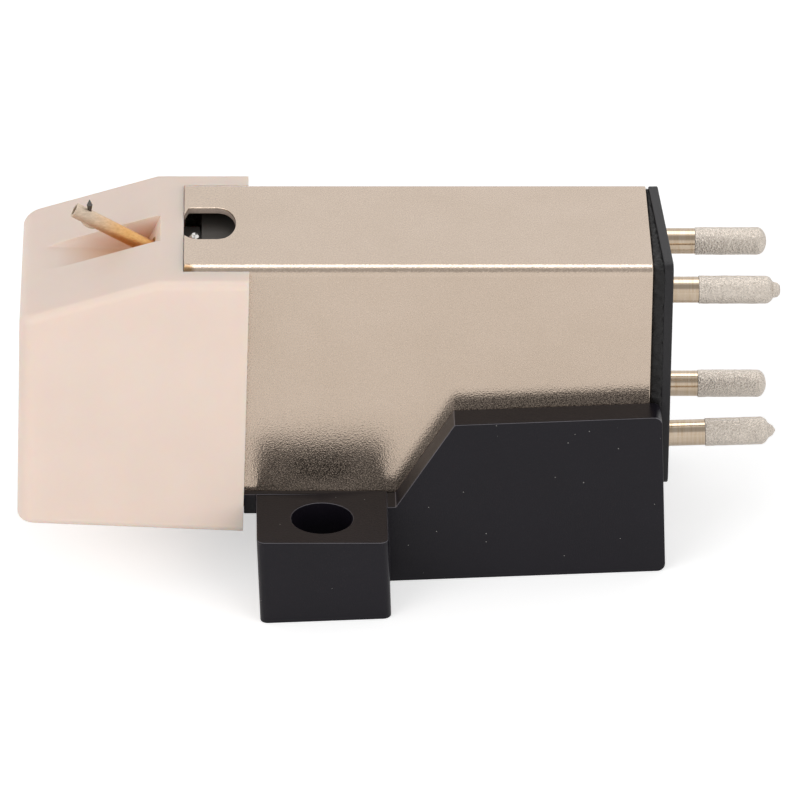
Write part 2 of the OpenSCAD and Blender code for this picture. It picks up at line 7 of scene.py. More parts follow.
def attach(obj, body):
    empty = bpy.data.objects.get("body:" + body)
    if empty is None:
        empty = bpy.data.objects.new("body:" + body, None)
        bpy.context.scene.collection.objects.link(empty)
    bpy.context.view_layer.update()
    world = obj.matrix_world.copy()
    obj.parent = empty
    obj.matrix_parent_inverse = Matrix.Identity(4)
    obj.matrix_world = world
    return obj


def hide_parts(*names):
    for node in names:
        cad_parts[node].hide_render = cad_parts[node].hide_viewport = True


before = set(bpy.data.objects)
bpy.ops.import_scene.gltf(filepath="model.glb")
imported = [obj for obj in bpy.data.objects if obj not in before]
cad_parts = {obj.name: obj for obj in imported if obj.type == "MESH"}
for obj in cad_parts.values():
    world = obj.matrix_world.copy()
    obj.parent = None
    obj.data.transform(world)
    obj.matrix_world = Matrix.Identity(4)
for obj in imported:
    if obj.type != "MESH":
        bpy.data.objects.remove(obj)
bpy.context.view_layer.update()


# Mounting bracket: one moulding of black ABS with two lugs for the mounting screws and two cheeks that
# hold the shield can. Its skin is a fine satin from the mould, with soft edges and a few specks of dust.
# Pieces are modelled in millimetres in the body's own frame, x back from the front of the can and z up
# from its top, and into_row brings them to metres in the part's frame.
can_l, can_w, can_h = 19.9, 7.9, 11.2
seat_h, hole_back, body_pitch = 3.45, 5.9, radians(2.4)
lug_l, lug_span, hole_d, hole_spacing = 5.6, 17.0, 2.65, 12.7
bracket_w, bracket_h, bracket_rear, bracket_r = 10.6, 7.55, 14.65, 0.35
cheek_top_x, cheek_angle = 5.8, radians(56)
rim_h, rim_t, rim_front, tongue_t, tongue_front = 0.4, 0.35, 2.55, 0.55, 0.5
core_depth, core_wall, core_outer = 1.5, 1.2, 3.85
seat_gap = 0.01
mould_edge = 0.08
# beyond the whole part, for cuts that go right through
past = 20

to_metres = Matrix.Scale(0.001, 4)
pitched = (Matrix.Translation((0, 0, seat_h)) @ Matrix.Rotation(body_pitch, 4, "Y")
           @ Matrix.Translation((-hole_back, 0, can_h)))
into_row = to_metres @ pitched


def colour(hex_text):
    """An sRGB hex colour as the linear one that Blender takes."""
    parts = [int(hex_text[i:i + 2], 16) / 255 for i in (1, 3, 5)]
    return [p / 12.92 if p <= 0.04045 else ((p + 0.055) / 1.055) ** 2.4 for p in parts] + [1]


def new_finish(name, **sockets):
    """A material whose Principled shader has the values given. Returns the material and its shader."""
    finish = bpy.data.materials.new(name)
    finish.use_nodes = True
    shader = finish.node_tree.nodes["Principled BSDF"]
    for socket, value in sockets.items():
        shader.inputs[socket.replace("_", " ")].default_value = value
    return finish, shader


def add_node(finish, kind, sockets, **settings):
    """Adds a node with its settings. A socket takes a value, or is linked where it is given an output."""
    made = finish.node_tree.nodes.new(kind)
    for name, value in settings.items():
        setattr(made, name, value)
    for socket, value in sockets.items():
        if isinstance(value, bpy.types.NodeSocket):
            finish.node_tree.links.new(value, made.inputs[socket])
        else:
            made.inputs[socket].default_value = value
    return made


def deselect():
    if bpy.context.mode != "OBJECT":
        bpy.ops.object.mode_set(mode="OBJECT")
    bpy.ops.object.select_all(action="DESELECT")


def activate(piece):
    deselect()
    piece.select_set(True)
    bpy.context.view_layer.objects.active = piece


def slab(name, outline, y0, y1):
    """A side view, given as points in x and z, extruded across the body from y0 to y1."""
    mesh = bpy.data.meshes.new(name)
    mesh.from_pydata([(x, y0, z) for x, z in outline], [], [range(len(outline))])
    piece = bpy.data.objects.new(name, mesh)
    bpy.context.scene.collection.objects.link(piece)
    activate(piece)
    bpy.ops.object.mode_set(mode="EDIT")
    bpy.ops.mesh.select_all(action="SELECT")
    bpy.ops.mesh.extrude_region_move(TRANSFORM_OT_translate={"value": (0, y1 - y0, 0)})
    bpy.ops.mesh.select_all(action="SELECT")
    bpy.ops.mesh.normals_make_consistent(inside=False)
    deselect()
    return piece


def block(name, low, high):
    """A box between two corners."""
    return slab(name, [(low[0], low[2]), (high[0], low[2]), (high[0], high[2]), (low[0], high[2])],
                low[1], high[1])


def rod(name, at, reach, radius, turn=0.0, sides=64):
    """A round bar on the middle of at, turned about y from upright."""
    deselect()
    bpy.ops.mesh.primitive_cylinder_add(vertices=sides, radius=radius, depth=reach)
    piece = bpy.context.object
    piece.name = name
    piece.data.transform(Matrix.Translation(at) @ Matrix.Rotation(turn, 4, "Y"))
    return piece


def lathe(name, profile, sides=56):
    """A turned shape about the x axis, from points in x and radius."""
    mesh = bpy.data.meshes.new(name)
    mesh.from_pydata([(x, 0, r) for x, r in profile], [(i - 1, i) for i in range(1, len(profile))], [])
    piece = bpy.data.objects.new(name, mesh)
    bpy.context.scene.collection.objects.link(piece)
    apply_modifier(piece, "SCREW", axis="X", steps=sides, render_steps=sides, use_merge_vertices=True,
                   merge_threshold=0.0001)
    bpy.ops.object.mode_set(mode="EDIT")
    bpy.ops.mesh.select_all(action="SELECT")
    bpy.ops.mesh.remove_doubles(threshold=0.0001)
    bpy.ops.mesh.normals_make_consistent(inside=False)
    deselect()
    return piece


def apply_modifier(piece, kind, **settings):
    activate(piece)
    modifier = piece.modifiers.new(kind.title(), kind)
    for name, value in settings.items():
        setattr(modifier, name, value)
    bpy.ops.object.modifier_apply(modifier=modifier.name)


def combine(piece, operation, *others):
    """Joins others to the piece, or cuts them from it, and removes them."""
    for other in others:
        apply_modifier(piece, "BOOLEAN", operation=operation, object=other, solver="EXACT")
        bpy.data.meshes.remove(other.data)


def round_edges(piece, chosen, radius, segments=6):
    """Rounds the edges that chosen picks by their middle and their direction."""
    activate(piece)
    bpy.ops.object.mode_set(mode="EDIT")
    bpy.ops.mesh.select_mode(type="EDGE")
    bpy.ops.mesh.select_all(action="DESELECT")
    bpy.ops.object.mode_set(mode="OBJECT")
    for edge in piece.data.edges:
        a, b = (piece.data.vertices[i].co for i in edge.vertices)
        edge.select = chosen((a + b) / 2, (b - a).normalized())
    bpy.ops.object.mode_set(mode="EDIT")
    bpy.ops.mesh.bevel(offset=radius, segments=segments, affect="EDGES")
    deselect()


def merge_flats(piece):
    """Joins the loose points and split flats that booleans leave, so that a bevel isn't held up by them."""
    activate(piece)
    bpy.ops.object.mode_set(mode="EDIT")
    bpy.ops.mesh.select_all(action="SELECT")
    bpy.ops.mesh.remove_doubles(threshold=0.002)
    bpy.ops.mesh.dissolve_limited(angle_limit=radians(0.5))
    bpy.ops.mesh.normals_make_consistent(inside=False)
    bpy.ops.object.mode_set(mode="OBJECT")


def soften(piece, radius, segments=3, angle=35):
    """Gives every sharp edge a small radius and shades the rest smooth."""
    merge_flats(piece)
    apply_modifier(piece, "BEVEL", width=radius, segments=segments, limit_method="ANGLE",
                   angle_limit=radians(angle), miter_outer="MITER_ARC", harden_normals=False)
    bpy.ops.object.shade_smooth_by_angle(angle=radians(angle))
    # without this the flat faces would shade like pillows
    apply_modifier(piece, "WEIGHTED_NORMAL", keep_sharp=True, weight=50)
    deselect()


def place(piece, body, finish, matrix=into_row):
    """Brings a finished piece to metres in the part's frame and lets it ride on its body."""
    piece.data.transform(matrix)
    piece.data.materials.clear()
    piece.data.materials.append(finish)
    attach(piece, body)


def coat(finish, *nodes):
    """Gives CAD nodes that are shown as they are a finish."""
    for name in nodes:
        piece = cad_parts[name]
        piece.data.materials.clear()
        piece.data.materials.append(finish)
        activate(piece)
        deselect()


def make_moulded(name, hex_low, hex_high, roughness, level):
    """A dark moulding: satin, nearly even, with pale dust specks that catch the light."""
    finish, shader = new_finish(name, Roughness=roughness, Specular_IOR_Level=level)
    where = add_node(finish, "ShaderNodeTexCoord", {}).outputs["Object"]
    # cloudy variation over about 3 mm, as the skin of the mould is never quite even
    cloud = add_node(finish, "ShaderNodeTexNoise", {"Vector": where, "Scale": 330, "Detail": 4})
    tone = add_node(finish, "ShaderNodeMix", {0: cloud.outputs["Fac"], 6: colour(hex_low),
                    7: colour(hex_high)}, data_type="RGBA")
    # dust of 0.04 mm: one speck in a few of the 0.3 mm cells
    speck = add_node(finish, "ShaderNodeTexVoronoi", {"Vector": where, "Scale": 3300})
    near = add_node(finish, "ShaderNodeMath", {0: speck.outputs["Distance"], 1: 0.07}, operation="LESS_THAN")
    few = add_node(finish, "ShaderNodeSeparateColor", {"Color": speck.outputs["Color"]})
    rare = add_node(finish, "ShaderNodeMath", {0: few.outputs["Red"], 1: 0.09}, operation="LESS_THAN")
    dust = add_node(finish, "ShaderNodeMath", {0: near.outputs[0], 1: rare.outputs[0]}, operation="MULTIPLY")
    dusty = add_node(finish, "ShaderNodeMix", {0: dust.outputs[0], 6: tone.outputs[2],
                     7: colour("#969490")}, data_type="RGBA")
    # the grain of the mould, 0.07 mm
    grain = add_node(finish, "ShaderNodeTexNoise", {"Vector": where, "Scale": 14000, "Detail": 3})
    bump = add_node(finish, "ShaderNodeBump", {"Height": grain.outputs["Fac"], "Strength": 0.6,
                    "Distance": 0.00001})
    finish.node_tree.links.new(dusty.outputs[2], shader.inputs["Base Color"])
    finish.node_tree.links.new(bump.outputs["Normal"], shader.inputs["Normal"])
    return finish


black_abs = make_moulded("black satin-moulded ABS", "#110f14", "#17141b", 0.33, 0.24)
# painted highlight: the upper edges are drawn paler, for the light that they catch
painted_highlight_abs = make_moulded("black ABS with painted edge highlight", "#454347", "#77747a", 0.4, 0.4)
foot_z = seat_h + rim_h / 2
foot_x = cheek_top_x - (bracket_h - foot_z) / tan(cheek_angle)
bracket = slab("bracket", [(0, 0), (bracket_rear, 0), (bracket_rear, bracket_h), (cheek_top_x, bracket_h),
                           (foot_x, foot_z), (0, foot_z)], -bracket_w / 2, bracket_w / 2)
round_edges(bracket, lambda at, way: abs(way.y) > 0.9 and at.x > bracket_rear - 1, bracket_r)
lugs = block("lugs", (-lug_l / 2, -lug_span / 2, 0), (lug_l / 2, lug_span / 2, seat_h + 2 * rim_h))
round_edges(lugs, lambda at, way: abs(way.z) > 0.9, bracket_r)
above_lugs = block("above_lugs", (-past, -past, rim_h - can_h), (past + 10, past, past))
above_lugs.data.transform(pitched)
combine(lugs, "DIFFERENCE", above_lugs)
rim = block("rim", (rim_front, -can_w / 2 - rim_t, -can_h - tongue_t), (hole_back, can_w / 2 + rim_t,
            rim_h - can_h))
tongue = block("tongue", (tongue_front, rim_t - can_w / 2, -can_h - tongue_t), (hole_back,
               can_w / 2 - rim_t, -can_h))
for part in (rim, tongue):
    part.data.transform(pitched)
combine(bracket, "UNION", lugs, rim, tongue)
bed = block("bed", (-past - 10, -can_w / 2 - seat_gap, -can_h), (2 * past, can_w / 2 + seat_gap, past))
bed.data.transform(pitched)
combine(bracket, "DIFFERENCE", bed)
merge_flats(bracket)
for side in (-1, 1):
    combine(bracket, "DIFFERENCE", rod("bore", (0, side * hole_spacing / 2, 0), past, hole_d / 2))
combine(bracket, "DIFFERENCE", block("front_core", (core_wall - lug_l / 2, -core_outer, -1),
                                     (lug_l / 2 - core_wall, core_outer, core_depth)))
for y0, y1 in ((-core_outer, -core_wall / 2), (core_wall / 2, core_outer)):
    combine(bracket, "DIFFERENCE", block("rear_core", (lug_l / 2 + core_wall, y0, -1),
                                         (bracket_rear - core_wall, y1, core_depth)))
soften(bracket, mould_edge)
place(bracket, "body", black_abs, to_metres)
bracket.data.materials.append(painted_highlight_abs)
# the painted highlight goes on the narrow faces of the small radii that look up, but not on those of the rear
# corners
for face in bracket.data.polygons:
    face.material_index = int(0.35 < face.normal.z < 0.94 and face.area < 0.9e-6
                              and (abs(face.normal.y) > 0.2 or face.center.x < 0.012))
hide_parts("mounting_bracket")


# Shield can: a drawn tube of steel sheet, 0.3 mm thick, that keeps hum out of the coils. It is open at
# both ends, has a notch in its top at the front, and is nickel plated over a grit-blasted surface.
can_wall, can_r = 0.3, 0.45
slot_w, slot_l, slot_lead, slot_shift = 2.84, 2.2, 0.05, 0.17
slot_straight, slot_taper, slot_taper_w = 1.45, 0.2, 0.95
# how far its near edge stands in from the side, at each x
slot_near_corner = ((-slot_lead, 0.5), (0.12, 0.25), (0.35, 0.06), (0.6, 0))
sheet_edge = 0.06
golden_corner = into_row @ Vector((0.12, -can_w / 2 + 0.1, -0.1))


def make_nickel():
    """Nickel plate on grit-blasted steel: warm, satin, with a coarse sparkle where it curves."""
    finish, shader = new_finish("satin nickel plate", Roughness=0.16)
    where = add_node(finish, "ShaderNodeTexCoord", {}).outputs["Object"]
    # faint stains a few millimetres across
    stain = add_node(finish, "ShaderNodeTexNoise", {"Vector": where, "Scale": 260, "Detail": 5,
                     "Roughness": 0.6})
    tone = add_node(finish, "ShaderNodeMix", {0: stain.outputs["Fac"], 6: colour("#c3b19f"),
                    7: colour("#d1bfaf")}, data_type="RGBA")
    # the near front corner turns to a golden tone over 0.3 mm
    away = add_node(finish, "ShaderNodeVectorMath", {0: where, 1: golden_corner}, operation="DISTANCE")
    golden_fade = add_node(finish, "ShaderNodeMapRange", {"Value": away.outputs["Value"], "From Min": 0.00018,
                    "From Max": 0.0004, "To Min": 0.85, "To Max": 0.0})
    skin = add_node(finish, "ShaderNodeMix", {0: golden_fade.outputs["Result"], 6: tone.outputs[2],
                    7: colour("#8f6c41")}, data_type="RGBA")
    # blasted pits of 0.08 mm with finer grain in them, which break up what the plate mirrors
    pits = add_node(finish, "ShaderNodeTexVoronoi", {"Vector": where, "Scale": 12500})
    fine = add_node(finish, "ShaderNodeTexNoise", {"Vector": where, "Scale": 17000, "Detail": 2,
                    "Roughness": 0.6})
    relief = add_node(finish, "ShaderNodeMath", {0: pits.outputs["Distance"], 1: 0.7,
                      2: fine.outputs["Fac"]}, operation="MULTIPLY_ADD")
    bump = add_node(finish, "ShaderNodeBump", {"Height": relief.outputs[0], "Strength": 1.0,
                    "Distance": 0.0000048})
    # between the pits the plate scatters light, which shows as a pale speckle where it mirrors black
    bare = add_node(finish, "ShaderNodeMapRange", {"Value": fine.outputs["Fac"], "From Min": 0.4,
                    "From Max": 0.68, "To Min": 1.0, "To Max": 0.65})
    finish.node_tree.links.new(bare.outputs["Result"], shader.inputs["Metallic"])
    finish.node_tree.links.new(skin.outputs[2], shader.inputs["Base Color"])
    finish.node_tree.links.new(bump.outputs["Normal"], shader.inputs["Normal"])
    return finish


def make_cut_edge():
    """The sheet's own steel where the notch was punched: grey-brown, torn, dull."""
    finish, shader = new_finish("punched sheet edge", Metallic=0.3, Roughness=0.45)
    where = add_node(finish, "ShaderNodeTexCoord", {}).outputs["Object"]
    # tear marks of 0.05 mm
    tear = add_node(finish, "ShaderNodeTexNoise", {"Vector": where, "Scale": 20000, "Detail": 2})
    tone = add_node(finish, "ShaderNodeMix", {0: tear.outputs["Fac"], 6: colour("#9c8a7d"),
                    7: colour("#d2c2b5")}, data_type="RGBA")
    finish.node_tree.links.new(tone.outputs[2], shader.inputs["Base Color"])
    return finish


nickel, cut_edge = make_nickel(), make_cut_edge()
can = block("can", (0, -can_w / 2, -can_h), (can_l, can_w / 2, 0))
round_edges(can, lambda at, way: abs(way.x) > 0.9, can_r, 8)
inside = block("inside", (-1, can_wall - can_w / 2, can_wall - can_h), (can_l + 1, can_w / 2 - can_wall,
               -can_wall))
round_edges(inside, lambda at, way: abs(way.x) > 0.9, can_r - can_wall / 2, 6)
combine(can, "DIFFERENCE", inside)
# the notch's rear end is a flat arch, and its far side narrows towards the front
arch = [(slot_straight + (slot_l - slot_straight) * sqrt(1 - (i / 16) ** 2), i / 16 * slot_w / 2)
        for i in range(-16, 17)]
notch = slab("notch", [(x, inset - slot_w / 2) for x, inset in slot_near_corner] + arch
             + [(slot_taper, slot_w / 2), (-slot_lead, slot_w / 2 - slot_taper_w)], -can_wall * 2, can_wall * 2)
# drawn flat in y, then tilted so that it cuts through the top
notch.data.transform(Matrix.Translation((0, slot_shift, 0)) @ Matrix(((1, 0, 0, 0), (0, 0, 1, 0), (0, 1, 0, 0),
                                                                     (0, 0, 0, 1))))
activate(notch)
bpy.ops.object.mode_set(mode="EDIT")
bpy.ops.mesh.select_all(action="SELECT")
bpy.ops.mesh.normals_make_consistent(inside=False)
deselect()
combine(can, "DIFFERENCE", notch)
soften(can, sheet_edge, 2)
place(can, "body", nickel)
can.data.materials.append(cut_edge)
# the upright faces of the notch, inside the sheet's thickness
for face in can.data.polygons:
    at = into_row.inverted() @ face.center
    face.material_index = int(0.1 < at.x < slot_l + 0.1 and abs(at.y) < slot_w and abs(face.normal.z) < 0.5
                              and -can_wall < at.z < -sheet_edge)
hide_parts("shield_can")


# Coil carrier and bobbins: black nylon mouldings inside the can, dull and a little dusty. The carrier's
# front block is what shows through the notch, with the suspension block, plugged into it, in front of it.
# The bobbins slip over the upper pole pieces.
coat(make_moulded("dull black nylon", "#474440", "#55514d", 0.55, 0.5), "coil_carrier", "bobbin_near",
     "bobbin_far")
coat(make_moulded("black nylon", "#2b2927", "#35322f", 0.5, 0.5), "suspension_block")


# Pole pieces: stamped strips of nickel-iron that lead the magnet's field to the coils. They are annealed
# after stamping, which leaves them an even, soft grey.
def make_metal(name, hex_low, hex_high, roughness, grain_mm, depth_mm):
    """A bare metal with a two-tone variation and a bump, both of one grain size."""
    finish, shader = new_finish(name, Metallic=1.0, Roughness=roughness)
    where = add_node(finish, "ShaderNodeTexCoord", {}).outputs["Object"]
    grain = add_node(finish, "ShaderNodeTexNoise", {"Vector": where, "Scale": 1000 / grain_mm, "Detail": 4})
    tone = add_node(finish, "ShaderNodeMix", {0: grain.outputs["Fac"], 6: colour(hex_low),
                    7: colour(hex_high)}, data_type="RGBA")
    bump = add_node(finish, "ShaderNodeBump", {"Height": grain.outputs["Fac"], "Strength": 0.4,
                    "Distance": depth_mm / 1000})
    finish.node_tree.links.new(tone.outputs[2], shader.inputs["Base Color"])
    finish.node_tree.links.new(bump.outputs["Normal"], shader.inputs["Normal"])
    return finish


coat(make_metal("annealed nickel-iron", "#8d8d8b", "#a5a5a2", 0.4, 0.3, 0.004), "pole_piece_near_upper",
     "pole_piece_near_lower", "pole_piece_far_upper", "pole_piece_far_lower")


# Coils and their leads: fine copper wire with a clear red enamel, wound in layers on the bobbins. The
# leads run back inside the can to the pins, to which they are soldered.
coat(make_metal("enamelled copper wire", "#a9582f", "#c07142", 0.3, 0.12, 0.01), "coil_near", "coil_far",
     "coil_leads")


# Potting: black epoxy cast in the rear of the can. It stands out behind it in a rough rim that was wiped
# off by hand and beds the terminal plate.
potting_depth, rim_inset, resin_lump, resin_voxel = 1.3, 0.13, 0.1, 0.08
plate_w, plate_h, plate_t, plate_r, plate_lift = 7.6, 10.7, 0.4, 0.4, 0.05
plate_mid, plate_yaw, plate_bed = 20.39, radians(2.9), 0.05
from_plate = Matrix.Translation((plate_mid, 0, 0)) @ Matrix.Rotation(plate_yaw, 4, "Z")


def make_epoxy():
    """Cast epoxy: black, lumpy where it was wiped off, glossy in places."""
    finish, shader = new_finish("cast black epoxy", Specular_IOR_Level=0.4)
    shader.inputs["Base Color"].default_value = colour("#100e0e")
    where = add_node(finish, "ShaderNodeTexCoord", {}).outputs["Object"]
    # lumps of 0.2 mm with finer ones in them, shinier in the hollows
    lumps = add_node(finish, "ShaderNodeTexNoise", {"Vector": where, "Scale": 5000, "Detail": 5,
                     "Roughness": 0.7})
    shine = add_node(finish, "ShaderNodeMapRange", {"Value": lumps.outputs["Fac"], "To Min": 0.3,
                     "To Max": 0.8})
    bump = add_node(finish, "ShaderNodeBump", {"Height": lumps.outputs["Fac"], "Strength": 0.9,
                    "Distance": 0.00006})
    finish.node_tree.links.new(shine.outputs["Result"], shader.inputs["Roughness"])
    finish.node_tree.links.new(bump.outputs["Normal"], shader.inputs["Normal"])
    return finish


potting = block("potting_resin", (can_l - potting_depth, can_wall - can_w / 2 + seat_gap,
                can_wall - can_h + seat_gap), (can_l + 1, can_w / 2 - can_wall - seat_gap,
                -can_wall - seat_gap))
rim = block("resin_rim", (can_l + seat_gap, rim_inset - can_w / 2, rim_inset - can_h),
            (can_l + 1, can_w / 2 - rim_inset, -rim_inset))
for part in (potting, rim):
    round_edges(part, lambda at, way: abs(way.x) > 0.9, can_r, 6)
combine(potting, "UNION", rim)
behind = block("behind", (plate_bed - plate_t / 2, -past / 2, -past), (past / 2, past / 2, past / 2))
behind.data.transform(from_plate)
combine(potting, "DIFFERENCE", behind)
apply_modifier(potting, "REMESH", mode="VOXEL", voxel_size=resin_voxel, use_smooth_shade=True)
for vertex in potting.data.vertices:
    if vertex.co.x > can_l:
        # lumps of 0.3 mm, with smaller ones of 0.1 mm on them
        lump = noise.noise(vertex.co * 3.1) + 0.6 * noise.noise(vertex.co * 8.3)
        vertex.co += Vector((0, vertex.normal.y, vertex.normal.z)) * resin_lump * lump
place(potting, "body", make_epoxy())
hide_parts("potting")


# Terminal plate: black phenolic laminate, stamped out and laid in the resin a little askew. Its cut edges
# are rougher and a little paler than its faces.
def make_laminate():
    """Phenolic laminate: black, half matt, with its layers drawn out along the cut edge."""
    finish, shader = new_finish("black phenolic laminate", Roughness=0.5, Specular_IOR_Level=0.4)
    where = add_node(finish, "ShaderNodeTexCoord", {}).outputs["Object"]
    # torn fibres, 0.1 mm across and longer along the edge
    pull = add_node(finish, "ShaderNodeMapping", {"Vector": where, "Scale": (14000, 3000, 3000)})
    fibre = add_node(finish, "ShaderNodeTexNoise", {"Vector": pull.outputs["Vector"], "Scale": 1.0,
                     "Detail": 4, "Roughness": 0.65})
    tone = add_node(finish, "ShaderNodeMix", {0: fibre.outputs["Fac"], 6: colour("#100f11"),
                    7: colour("#222022")}, data_type="RGBA")
    bump = add_node(finish, "ShaderNodeBump", {"Height": fibre.outputs["Fac"], "Strength": 0.5,
                    "Distance": 0.00002})
    finish.node_tree.links.new(tone.outputs[2], shader.inputs["Base Color"])
    finish.node_tree.links.new(bump.outputs["Normal"], shader.inputs["Normal"])
    return finish


plate = block("plate", (-plate_t / 2, -plate_w / 2, plate_lift - plate_h),
              (plate_t / 2, plate_w / 2, plate_lift))
round_edges(plate, lambda at, way: abs(way.x) > 0.9, plate_r)
soften(plate, 0.05)
plate.data.transform(from_plate)
place(plate, "body", make_laminate())
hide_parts("terminal_plate")


# Terminal pins: turned brass, nickel plated, with ends that were dipped in solder. The near ones kept a
# small nub where they left the bath.
pin_r, pin_shank_r, pin_inner_r, pin_y = 0.6, 0.56, 0.42, 2.23
pin_inner, pin_end, pin_round = 16.0, 25.19, 0.4
tin_lump, tin_step = 0.012, 0.06


def make_nickel_pin():
    """Nickel plate on turned brass: bright, with the faint rings of turning and a trace of gold."""
    finish, shader = new_finish("bright nickel plate", Metallic=1.0, Roughness=0.13)
    where = add_node(finish, "ShaderNodeTexCoord", {}).outputs["Object"]
    # turning marks, drawn at 0.1 mm because the real ones are too fine to show
    rings = add_node(finish, "ShaderNodeMapping", {"Vector": where, "Scale": (9000, 800, 800)})
    turned = add_node(finish, "ShaderNodeTexNoise", {"Vector": rings.outputs["Vector"], "Scale": 1.0,
                      "Detail": 3})
    tone = add_node(finish, "ShaderNodeMix", {0: turned.outputs["Fac"], 6: colour("#b49b7b"),
                    7: colour("#d0c3b4")}, data_type="RGBA")
    bump = add_node(finish, "ShaderNodeBump", {"Height": turned.outputs["Fac"], "Strength": 0.3,
                    "Distance": 0.00001})
    finish.node_tree.links.new(tone.outputs[2], shader.inputs["Base Color"])
    finish.node_tree.links.new(bump.outputs["Normal"], shader.inputs["Normal"])
    return finish


def make_tin():
    """Solder, dipped: grey-white crystals of about 0.08 mm that glitter, drawn here at 0.1 mm."""
    finish, shader = new_finish("frosted tin solder", Metallic=1.0, Roughness=0.25)
    where = add_node(finish, "ShaderNodeTexCoord", {}).outputs["Object"]
    crystal = add_node(finish, "ShaderNodeTexNoise", {"Vector": where, "Scale": 11500, "Detail": 3,
                       "Roughness": 0.7})
    tone = add_node(finish, "ShaderNodeMix", {0: crystal.outputs["Fac"], 6: colour("#9a8c80"),
                    7: colour("#fff6ea")}, data_type="RGBA")
    bump = add_node(finish, "ShaderNodeBump", {"Height": crystal.outputs["Fac"], "Strength": 1.0,
                    "Distance": 0.00006})
    finish.node_tree.links.new(tone.outputs[2], shader.inputs["Base Color"])
    finish.node_tree.links.new(bump.outputs["Normal"], shader.inputs["Normal"])
    return finish


pin_nickel, pin_tin = make_nickel_pin(), make_tin()
# name, side, depth, extra length, length of the tinned end, radii of the nub at its foot and end, bend
for name, side, depth, extra, tin_l, nub, bend in (
        ("far_upper", 1, 1.95, -0.1, 3.11, None, 0), ("near_upper", -1, 1.95, 0, 3.26, (0.34, 0.2), 0),
        ("far_lower", 1, 8.95, 0.1, 3.0, None, 0), ("near_lower", -1, 8.95, 0, 2.8, (0.3, 0.06), 1.8)):
    shoulder = (plate_mid + plate_t / 2 / cos(plate_yaw) - (side * pin_y - pin_r) * tan(plate_yaw)
                + pin_r * sin(radians(bend)))
    out = pin_end + extra - shoulder
    profile = [(pin_inner - shoulder, 0), (pin_inner - shoulder, pin_inner_r), (0, pin_inner_r),
               (0, pin_shank_r), (out - tin_l, pin_shank_r)]
    rings = int((tin_l - pin_round) / tin_step)
    profile += [(out - tin_l + 0.02 + i * (tin_l - pin_round - 0.02) / rings, pin_r) for i in range(rings)]
    profile += [(out - pin_round + pin_round * sin(pi / 2 * i / 10), pin_r * cos(pi / 2 * i / 10))
                for i in range(11)]
    if nub:
        profile = [point for point in profile if point[0] < out - 0.3 or point[1] > nub[0]]
        profile += [(out - 0.02, nub[0]), (out + 0.12, (nub[0] + nub[1]) / 2 + 0.04),
                    (out + 0.22, nub[1]), (out + 0.25, nub[1] / 2)]
    profile[-1] = (profile[-1][0], 0)
    pin = lathe("pin_" + name, profile)
    for vertex in pin.data.vertices:
        if vertex.co.x > out - tin_l + 0.01:
            lump = noise.noise(vertex.co * 2.6 + Vector((0, side * 5, depth)))
            lump += 0.5 * noise.noise(vertex.co * 9.0 + Vector((side * 5, 0, depth)))
            vertex.co += vertex.normal * tin_lump * lump
        if vertex.co.x > -0.001:
            vertex.co = Matrix.Rotation(-radians(bend), 3, "Y") @ vertex.co
    activate(pin)
    bpy.ops.object.shade_smooth_by_angle(angle=radians(40))
    pin.data.transform(Matrix.Translation((shoulder, side * pin_y, -depth)))
    place(pin, "body", pin_nickel)
    pin.data.materials.append(pin_tin)
    tinned = (into_row @ Vector((shoulder + out - tin_l, side * pin_y, -depth))).x
    for face in pin.data.polygons:
        face.material_index = int(face.center.x > tinned)
    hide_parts("terminal_pin_" + name)


# Stylus holder: one hollow moulding of pale pink-beige ABS that pushes on the front of the can. Light
#  gets into it, so its thin places glow warm, and in the trough that glow is also painted into its colour. The
#  trough in its top lets the cantilever stand up.
def make_pale_abs(name, painted_glow):
    """ABS: pale pink-beige, a little translucent, satin from the mould. The second argument is a painted warm
    glow for deep places, standing in for light that comes through the thin walls.
    """
    finish, shader = new_finish(name, Roughness=0.38, IOR=1.5, Subsurface_Weight=0.5)
    shader.inputs["Subsurface Radius"].default_value = (1.0, 0.42, 0.22)
    shader.inputs["Subsurface Scale"].default_value = 0.0011
    where = add_node(finish, "ShaderNodeTexCoord", {}).outputs["Object"]
    # cloudy over about 3 mm, hardly to be seen
    cloud = add_node(finish, "ShaderNodeTexNoise", {"Vector": where, "Scale": 350, "Detail": 3})
    tone = add_node(finish, "ShaderNodeMix", {0: cloud.outputs["Fac"], 6: colour("#e9d4c7"),
                    7: colour("#efdccf")}, data_type="RGBA").outputs[2]
    if painted_glow:
        # painted glow: warmer from 0.2 mm to 0.9 mm under the sloping top, for the light that comes through the
        # walls and bounces in the trough
        down = add_node(finish, "ShaderNodeVectorMath", {0: where, 1: slope_down}, operation="DOT_PRODUCT")
        painted_glow_mask = add_node(finish, "ShaderNodeMapRange", {"Value": down.outputs["Value"],
                        "From Min": slope_top.dot(slope_down) + 0.0002,
                        "From Max": slope_top.dot(slope_down) + 0.0009, "To Max": painted_glow})
        tone = add_node(finish, "ShaderNodeMix", {0: painted_glow_mask.outputs["Result"], 6: tone,
                        7: colour("#d9a47c")}, data_type="RGBA").outputs[2]
    # the grain of the mould, 0.08 mm
    grain = add_node(finish, "ShaderNodeTexNoise", {"Vector": where, "Scale": 12000, "Detail": 2})
    bump = add_node(finish, "ShaderNodeBump", {"Height": grain.outputs["Fac"], "Strength": 0.15,
                    "Distance": 0.00001})
    finish.node_tree.links.new(tone, shader.inputs["Base Color"])
    finish.node_tree.links.new(bump.outputs["Normal"], shader.inputs["Normal"])
    return finish


